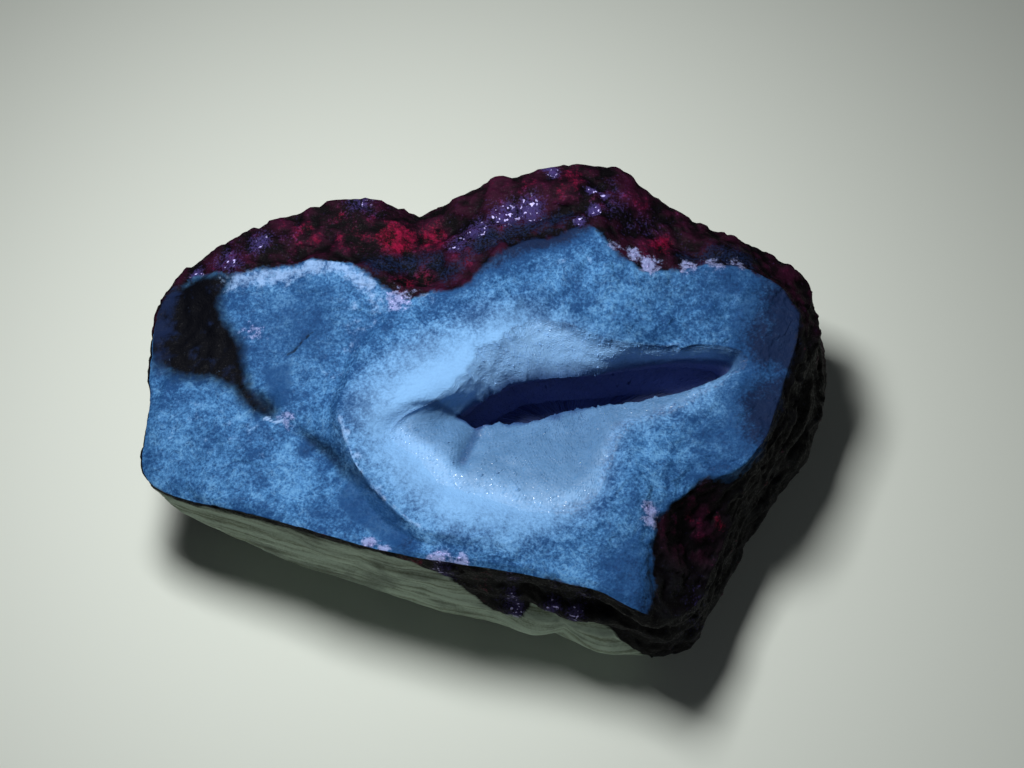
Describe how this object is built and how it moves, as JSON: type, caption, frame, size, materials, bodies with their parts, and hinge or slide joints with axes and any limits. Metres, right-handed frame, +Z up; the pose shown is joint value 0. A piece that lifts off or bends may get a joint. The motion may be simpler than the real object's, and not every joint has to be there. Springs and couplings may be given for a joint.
{
  "type": "geode half",
  "caption": "Broken geode half lying face up: blue chalcedony in a dark red rind, its bowl and slit lined with a crust of small quartz crystals.",
  "frame": {"origin": "bottom centre of the stone's box, on the flat that it rests on", "axes": "+X along the length of the broken face and of its slit, +Y to the higher rind edge, +Z up out of the broken face"},
  "size_m": [0.118, 0.079, 0.0408],
  "materials": {
    "chalcedony_and_rind": "broken, waxy blue chalcedony with a weathered dark red and olive rind",
    "quartz_druse": "small glassy quartz crystals, pale blue"
  },
  "bodies": {
    "root": {"stone": "chalcedony_and_rind", "crystal_crust": "quartz_druse"}
  },
  "joints": []
}
